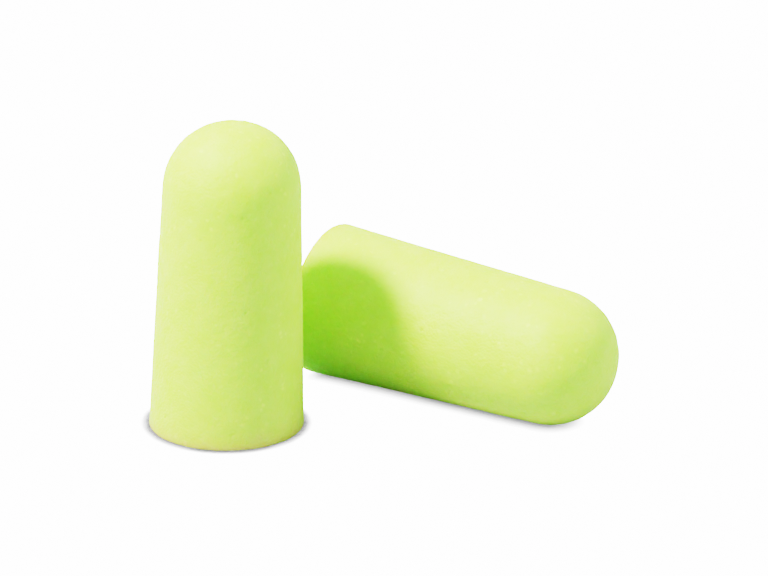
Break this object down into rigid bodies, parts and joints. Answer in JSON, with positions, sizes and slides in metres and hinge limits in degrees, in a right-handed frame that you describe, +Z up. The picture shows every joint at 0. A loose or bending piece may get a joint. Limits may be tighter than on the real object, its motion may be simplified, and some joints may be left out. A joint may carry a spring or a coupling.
{
  "type": "foam ear plugs",
  "caption": "Uncorded foam ear plugs with a tapered body, a round nose and a flat base end; rolled thin, pushed into the ear canal and left to swell, they block noise.",
  "frame": {"origin": "middle of the box around both plugs, at its bottom, on the surface that they rest on", "axes": "+Z up, along the standing plug from its flat base end to its nose; +X along the longer side of the pair, from the standing plug towards the lying plug's nose; +Y from the side where the lying plug's nose is towards the side where its base end is"},
  "size_m": [0.0364, 0.0226, 0.0244],
  "materials": {
    "foam": "matte"
  },
  "bodies": {
    "upright_plug_body": {"upright_plug": "foam"},
    "lying_plug_body": {"lying_plug": "foam"}
  },
  "joints": [
    {"name": "lift_lying_plug", "type": "slide", "parent": "upright_plug_body", "child": "lying_plug_body", "axis": [0, 0, 1], "range_m": [0, 0.03]}
  ]
}
